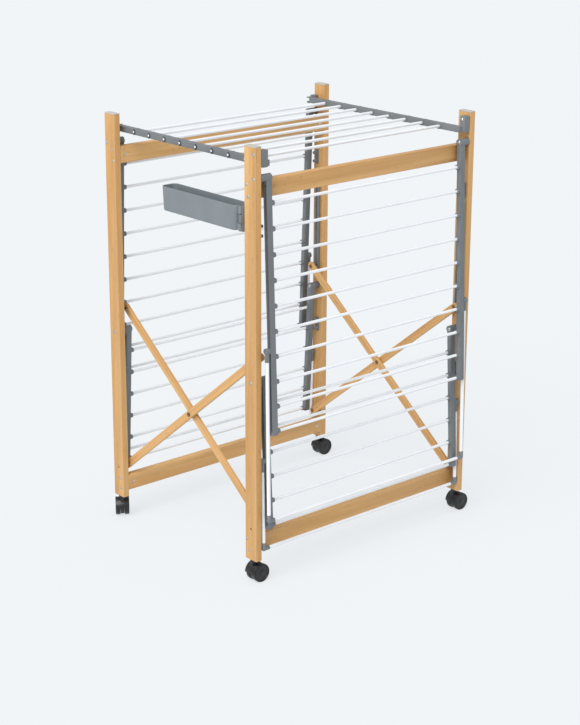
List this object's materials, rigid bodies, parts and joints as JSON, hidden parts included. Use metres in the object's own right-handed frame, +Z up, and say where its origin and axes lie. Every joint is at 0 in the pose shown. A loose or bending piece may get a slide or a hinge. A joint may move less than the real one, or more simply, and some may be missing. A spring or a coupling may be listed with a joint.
{
  "type": "clothes drying rack",
  "caption": "Folding wooden clothes airer with hanging rod wings on both sides, a rod panel on top, crossed braces, a peg tray and casters.",
  "frame": {"origin": "on the floor, under the centre of the whole rack's box", "axes": "+Z up, X along the rods, Y from the near frame to the far frame"},
  "size_m": [0.7574, 0.6276, 1.075],
  "materials": {
    "beech": "satin clear lacquer over straight grain",
    "cap": "matte moulded plastic",
    "grey_plastic": "fine matte moulded plastic",
    "tray_plastic": "fine matte moulded plastic",
    "white_tube": "white powder coat on steel tube",
    "zinc": "bright zinc plating",
    "bronze": "aged brass plating",
    "black_plastic": "semi-matte moulded nylon",
    "steel": "plain steel"
  },
  "bodies": {
    "near_frame": {"near_left_post": "beech", "near_right_post": "beech", "near_top_rail": "beech", "near_bottom_rail": "beech", "near_post_caps": "cap", "near_rail_screws": "zinc", "near_rail_pins": "steel", "near_brace_channels": "grey_plastic", "near_brace_pins": "bronze", "near_peg_plates": "grey_plastic", "near_pivot_screws": "zinc", "near_caster_sockets": "black_plastic", "tray_bracket": "grey_plastic"},
    "far_frame": {"far_left_post": "beech", "far_right_post": "beech", "far_top_rail": "beech", "far_bottom_rail": "beech", "far_post_caps": "cap", "far_rail_screws": "zinc", "far_rail_pins": "steel", "far_brace_channels": "grey_plastic", "far_brace_pins": "bronze", "far_peg_plates": "grey_plastic", "far_pivot_screws": "zinc", "far_caster_sockets": "black_plastic"},
    "rising_braces": {"rising_brace_slats": "beech", "rising_brace_rivets": "bronze"},
    "falling_braces": {"falling_brace_slats": "beech", "falling_brace_rivets": "bronze"},
    "top_panel": {"panel_arms": "grey_plastic", "panel_rods": "white_tube"},
    "tray": {"peg_tray": "tray_plastic"},
    "near_upper_wing": {"near_upper_wing_arms": "grey_plastic", "near_upper_wing_rods": "white_tube"},
    "near_upper_stay": {"near_upper_stay_tubes": "white_tube", "near_upper_stay_fittings": "grey_plastic"},
    "near_lower_wing": {"near_lower_wing_arms": "grey_plastic", "near_lower_wing_rods": "white_tube"},
    "near_lower_stay": {"near_lower_stay_tubes": "white_tube", "near_lower_stay_fittings": "grey_plastic"},
    "far_upper_wing": {"far_upper_wing_arms": "grey_plastic", "far_upper_wing_rods": "white_tube"},
    "far_upper_stay": {"far_upper_stay_tubes": "white_tube", "far_upper_stay_fittings": "grey_plastic"},
    "far_lower_wing": {"far_lower_wing_arms": "grey_plastic", "far_lower_wing_rods": "white_tube"},
    "far_lower_stay": {"far_lower_stay_tubes": "white_tube", "far_lower_stay_fittings": "grey_plastic"},
    "near_left_caster_swivel": {"near_left_caster_fork": "black_plastic", "near_left_caster_axle": "steel"},
    "near_left_caster_wheels_pair": {"near_left_caster_wheels": "black_plastic"},
    "near_right_caster_swivel": {"near_right_caster_fork": "black_plastic", "near_right_caster_axle": "steel"},
    "near_right_caster_wheels_pair": {"near_right_caster_wheels": "black_plastic"},
    "far_left_caster_swivel": {"far_left_caster_fork": "black_plastic", "far_left_caster_axle": "steel"},
    "far_left_caster_wheels_pair": {"far_left_caster_wheels": "black_plastic"},
    "far_right_caster_swivel": {"far_right_caster_fork": "black_plastic", "far_right_caster_axle": "steel"},
    "far_right_caster_wheels_pair": {"far_right_caster_wheels": "black_plastic"}
  },
  "joints": [
    {"name": "brace_fold", "type": "hinge", "parent": "near_frame", "child": "rising_braces", "pos_m": [-0.00675, -0.27, 0.14], "axis": [1, 0, 0], "range_deg": [0, 46.44]},
    {"name": "brace_cross", "type": "hinge", "parent": "rising_braces", "child": "falling_braces", "pos_m": [-0.00675, 0, 0.354], "axis": [1, 0, 0], "range_deg": [-92.88, 0]},
    {"name": "far_frame_level", "type": "hinge", "parent": "falling_braces", "child": "far_frame", "pos_m": [-0.00675, 0.27, 0.14], "axis": [1, 0, 0], "range_deg": [0, 46.45]},
    {"name": "panel_swing", "type": "hinge", "parent": "near_frame", "child": "top_panel", "pos_m": [-0.00675, -0.282, 1.056], "axis": [1, 0, 0], "range_deg": [0, 265]},
    {"name": "tray_swing", "type": "hinge", "parent": "near_frame", "child": "tray", "pos_m": [-0.36975, -0.242, 0.903], "axis": [0, 0, 1], "range_deg": [0, 90.01]},
    {"name": "near_upper_wing_swing", "type": "hinge", "parent": "near_frame", "child": "near_upper_wing", "pos_m": [-0.00675, -0.283, 1], "axis": [1, 0, 0], "range_deg": [-87.7, 0]},
    {"name": "near_upper_stay_swing", "type": "hinge", "parent": "near_upper_wing", "child": "near_upper_stay", "pos_m": [-0.00675, -0.29941, 0.59133], "axis": [1, 0, 0], "range_deg": [0, 87.72]},
    {"name": "near_lower_wing_swing", "type": "hinge", "parent": "near_frame", "child": "near_lower_wing", "pos_m": [-0.00675, -0.27, 0.5115], "axis": [1, 0, 0], "range_deg": [-86.81, 0]},
    {"name": "near_lower_stay_swing", "type": "hinge", "parent": "near_lower_wing", "child": "near_lower_stay", "pos_m": [-0.00675, -0.28116, 0.31181], "axis": [1, 0, 0], "range_deg": [0, 146.85]},
    {"name": "far_upper_wing_swing", "type": "hinge", "parent": "far_frame", "child": "far_upper_wing", "pos_m": [-0.00675, 0.283, 1], "axis": [1, 0, 0], "range_deg": [0, 87.7]},
    {"name": "far_upper_stay_swing", "type": "hinge", "parent": "far_upper_wing", "child": "far_upper_stay", "pos_m": [-0.00675, 0.29941, 0.59133], "axis": [1, 0, 0], "range_deg": [-87.72, 0]},
    {"name": "far_lower_wing_swing", "type": "hinge", "parent": "far_frame", "child": "far_lower_wing", "pos_m": [-0.00675, 0.27, 0.5115], "axis": [1, 0, 0], "range_deg": [0, 86.81]},
    {"name": "far_lower_stay_swing", "type": "hinge", "parent": "far_lower_wing", "child": "far_lower_stay", "pos_m": [-0.00675, 0.28116, 0.31181], "axis": [1, 0, 0], "range_deg": [-146.85, 0]},
    {"name": "near_left_caster_swivel", "type": "hinge", "parent": "near_frame", "child": "near_left_caster_swivel", "pos_m": [-0.35575, -0.27, 0.06], "axis": [0, 0, 1], "continuous": true},
    {"name": "near_left_caster_wheels_pair_spin", "type": "hinge", "parent": "near_left_caster_swivel", "child": "near_left_caster_wheels_pair", "pos_m": [-0.34275, -0.27, 0.0235], "axis": [0, 1, 0], "continuous": true},
    {"name": "near_right_caster_swivel", "type": "hinge", "parent": "near_frame", "child": "near_right_caster_swivel", "pos_m": [0.34225, -0.27, 0.06], "axis": [0, 0, 1], "continuous": true},
    {"name": "near_right_caster_wheels_pair_spin", "type": "hinge", "parent": "near_right_caster_swivel", "child": "near_right_caster_wheels_pair", "pos_m": [0.35525, -0.27, 0.0235], "axis": [0, 1, 0], "continuous": true},
    {"name": "far_left_caster_swivel", "type": "hinge", "parent": "far_frame", "child": "far_left_caster_swivel", "pos_m": [-0.35575, 0.27, 0.06], "axis": [0, 0, 1], "continuous": true},
    {"name": "far_left_caster_wheels_pair_spin", "type": "hinge", "parent": "far_left_caster_swivel", "child": "far_left_caster_wheels_pair", "pos_m": [-0.34829, 0.28065, 0.0235], "axis": [-0.8192, 0.5736, 0], "continuous": true},
    {"name": "far_right_caster_swivel", "type": "hinge", "parent": "far_frame", "child": "far_right_caster_swivel", "pos_m": [0.34225, 0.27, 0.06], "axis": [0, 0, 1], "continuous": true},
    {"name": "far_right_caster_wheels_pair_spin", "type": "hinge", "parent": "far_right_caster_swivel", "child": "far_right_caster_wheels_pair", "pos_m": [0.35525, 0.27, 0.0235], "axis": [0, 1, 0], "continuous": true}
  ],
  "couplings": [
    {"joint": "brace_cross", "follows": "brace_fold", "ratio": -2},
    {"joint": "far_frame_level", "follows": "brace_fold", "ratio": 1},
    {"joint": "tray_swing", "follows": "brace_fold", "ratio": 1.9381},
    {"joint": "near_upper_stay_swing", "follows": "near_upper_wing_swing", "ratio": -1},
    {"joint": "near_lower_wing_swing", "follows": "near_upper_wing_swing", "ratio": 0.98974},
    {"joint": "near_lower_stay_swing", "follows": "near_upper_wing_swing", "ratio": -1.6743},
    {"joint": "far_upper_stay_swing", "follows": "far_upper_wing_swing", "ratio": -1},
    {"joint": "far_lower_wing_swing", "follows": "far_upper_wing_swing", "ratio": 0.98974},
    {"joint": "far_lower_stay_swing", "follows": "far_upper_wing_swing", "ratio": -1.6743}
  ]
}
